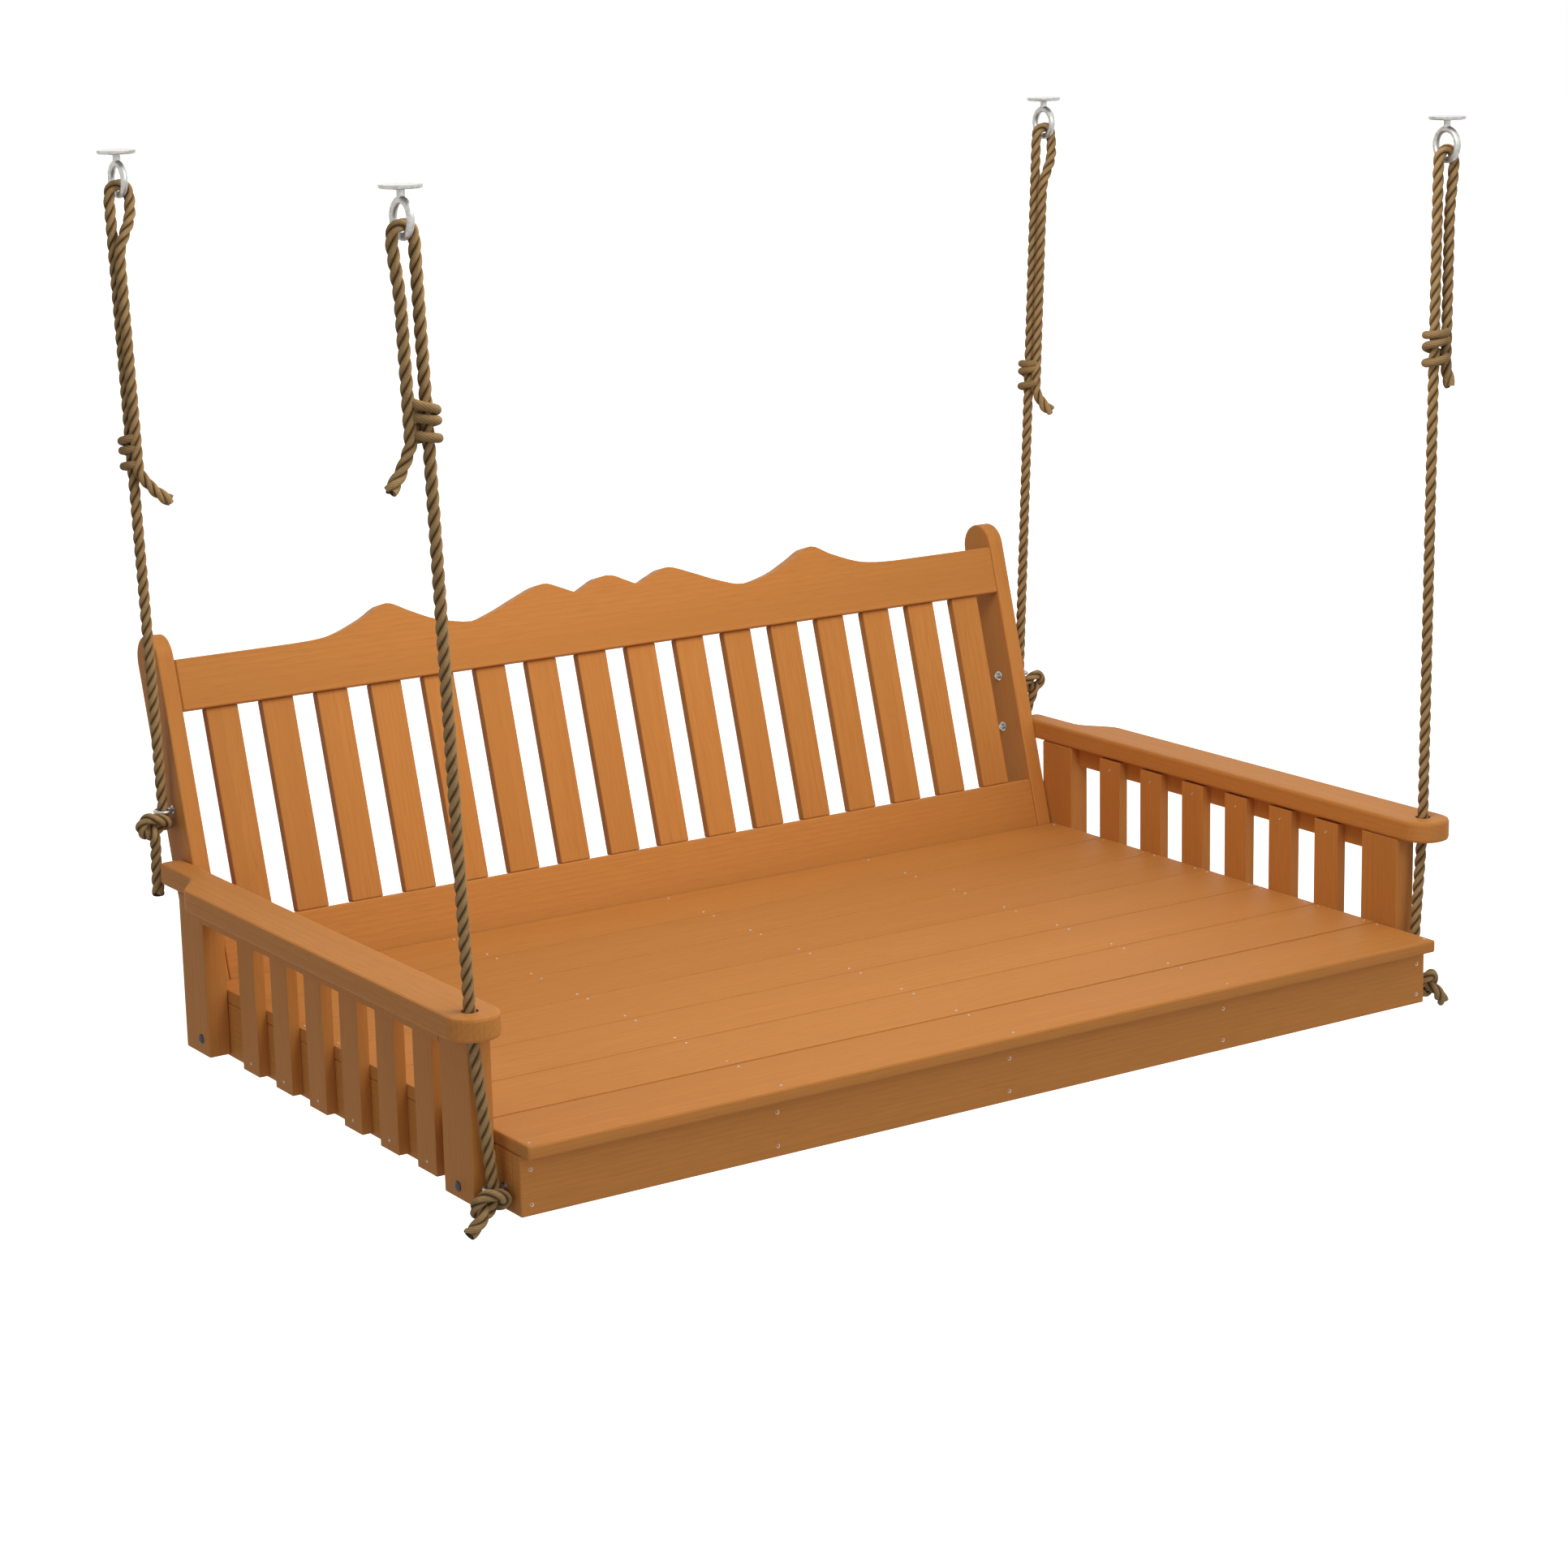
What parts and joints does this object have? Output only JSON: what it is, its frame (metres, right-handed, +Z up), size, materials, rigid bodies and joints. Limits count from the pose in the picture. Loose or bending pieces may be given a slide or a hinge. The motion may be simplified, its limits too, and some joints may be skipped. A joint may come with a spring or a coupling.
{
  "type": "porch swing",
  "caption": "Rope-hung wooden porch swing with a deep slatted deck, railed arms and a reclined slatted back under a crested top rail.",
  "frame": {"origin": "ceiling plane at the top faces of the four eye plates, midway between the left and right and the front and rear hanging points", "axes": "+Z up, +X along the bench towards its left-hand end as seen from the sitter, -Y towards the front of the seat"},
  "size_m": [2.0867, 1.3334, 1.562],
  "materials": {
    "stained_wood": "satin",
    "natural_rope": "matte",
    "zinc_steel": "satin"
  },
  "bodies": {
    "ceiling": {"front_left_ceiling_eye": "zinc_steel", "front_right_ceiling_eye": "zinc_steel", "rear_left_ceiling_eye": "zinc_steel", "rear_right_ceiling_eye": "zinc_steel"},
    "front_ropes": {"front_left_rope": "natural_rope", "front_right_rope": "natural_rope"},
    "bench": {"front_apron": "stained_wood", "rear_frame_rail": "stained_wood", "left_side_rail": "stained_wood", "right_side_rail": "stained_wood", "left_joist": "stained_wood", "middle_joist": "stained_wood", "right_joist": "stained_wood", "deck_board_1": "stained_wood", "deck_board_2": "stained_wood", "deck_board_3": "stained_wood", "deck_board_4": "stained_wood", "deck_board_5": "stained_wood", "deck_board_6": "stained_wood", "deck_board_7": "stained_wood", "left_arm": "stained_wood", "left_front_arm_post": "stained_wood", "left_rear_arm_post": "stained_wood", "left_arm_slats": "stained_wood", "left_back_post": "stained_wood", "right_arm": "stained_wood", "right_front_arm_post": "stained_wood", "right_rear_arm_post": "stained_wood", "right_arm_slats": "stained_wood", "right_back_post": "stained_wood", "back_bottom_rail": "stained_wood", "back_top_rail": "stained_wood", "back_slat_01": "stained_wood", "back_slat_02": "stained_wood", "back_slat_03": "stained_wood", "back_slat_04": "stained_wood", "back_slat_05": "stained_wood", "back_slat_06": "stained_wood", "back_slat_07": "stained_wood", "back_slat_08": "stained_wood", "back_slat_09": "stained_wood", "back_slat_10": "stained_wood", "back_slat_11": "stained_wood", "back_slat_12": "stained_wood", "back_slat_13": "stained_wood", "back_slat_14": "stained_wood", "back_slat_15": "stained_wood", "back_slat_16": "stained_wood", "front_left_eye_bolt": "zinc_steel", "front_right_eye_bolt": "zinc_steel", "rear_left_eye_bolt": "zinc_steel", "rear_right_eye_bolt": "zinc_steel", "front_left_lower_rope": "natural_rope", "front_right_lower_rope": "natural_rope", "rear_left_knot": "natural_rope", "rear_right_knot": "natural_rope"},
    "rear_ropes": {"rear_left_rope": "natural_rope", "rear_right_rope": "natural_rope"}
  },
  "joints": [
    {"name": "front_rope_swing", "type": "hinge", "parent": "ceiling", "child": "front_ropes", "pos_m": [0, -0.5491, -0.074], "axis": [1, 0, 0], "range_deg": [-15, 15]},
    {"name": "bench_level", "type": "hinge", "parent": "front_ropes", "child": "bench", "pos_m": [0, -0.5697, -1.216], "axis": [1, 0, 0], "range_deg": [-15, 15]},
    {"name": "rear_rope_swing", "type": "hinge", "parent": "ceiling", "child": "rear_ropes", "pos_m": [0, 0.5491, -0.074], "axis": [1, 0, 0], "range_deg": [-16.5, 16.5]}
  ],
  "couplings": [
    {"joint": "bench_level", "follows": "front_rope_swing", "ratio": -0.967},
    {"joint": "rear_rope_swing", "follows": "front_rope_swing", "ratio": 1.075}
  ]
}
